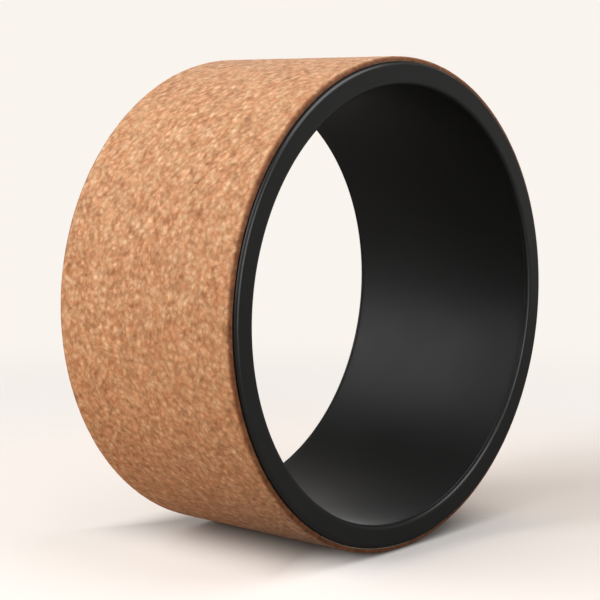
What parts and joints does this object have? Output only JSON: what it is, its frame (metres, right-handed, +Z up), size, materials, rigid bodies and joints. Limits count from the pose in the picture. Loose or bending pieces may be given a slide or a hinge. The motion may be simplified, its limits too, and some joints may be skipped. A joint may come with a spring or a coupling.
{
  "type": "yoga wheel",
  "caption": "Rigid hollow wheel with a padded, cork-covered tread, a smooth black drum and rounded rim rings, rolled under the back or used as a balance prop in yoga.",
  "frame": {"origin": "the wheel's centre: on its axis, midway between the two rims", "axes": "+Y along the wheel's axis, +Z up as it stands on its tread, and the near rim in the picture faces -Y"},
  "size_m": [0.32, 0.154, 0.32],
  "materials": {
    "cork": "matte agglomerated cork",
    "rim_plastic": "satin black moulded plastic",
    "drum_plastic": "satin black plastic",
    "foam": "closed-cell foam",
    "bonding_film": "thin bonding film"
  },
  "bodies": {
    "root": {"inner_drum": "drum_plastic", "outer_drum": "drum_plastic", "foam_adhesive_film": "bonding_film", "foam_cushion": "foam", "cork_adhesive_film": "bonding_film", "cork_cover": "cork", "front_rim_ring": "rim_plastic", "rear_rim_ring": "rim_plastic"}
  },
  "joints": []
}
